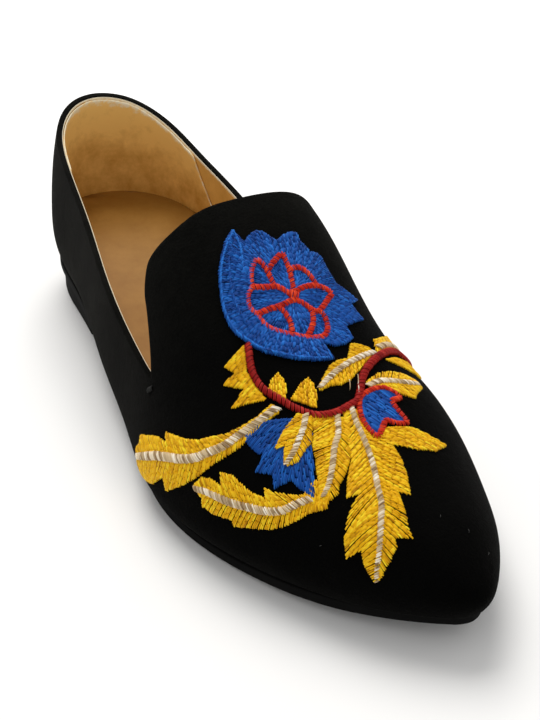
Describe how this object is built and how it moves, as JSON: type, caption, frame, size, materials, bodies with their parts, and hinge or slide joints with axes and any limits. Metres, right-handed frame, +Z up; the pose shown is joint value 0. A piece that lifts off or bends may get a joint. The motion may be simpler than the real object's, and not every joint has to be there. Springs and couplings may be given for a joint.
{
  "type": "loafer",
  "caption": "Right slipper loafer: almond toe, raised tongue, deep V cuts at both sides, thin sole with a low heel, open and empty inside.",
  "frame": {"origin": "middle of the box's footprint, on the floor that the shoe stands on", "axes": "+Z up, -Y towards the toe, +Y towards the heel, +X towards the medial side of this right shoe"},
  "size_m": [0.097, 0.2598, 0.0798],
  "materials": {
    "upper": "black suede with a short nap",
    "outsole": "black smooth leather, matt",
    "heel": "black stacked leather, matt",
    "insole": "tan smooth leather"
  },
  "bodies": {
    "root": {"upper": "upper", "outsole": "outsole", "heel": "heel", "insole": "insole"}
  },
  "joints": []
}
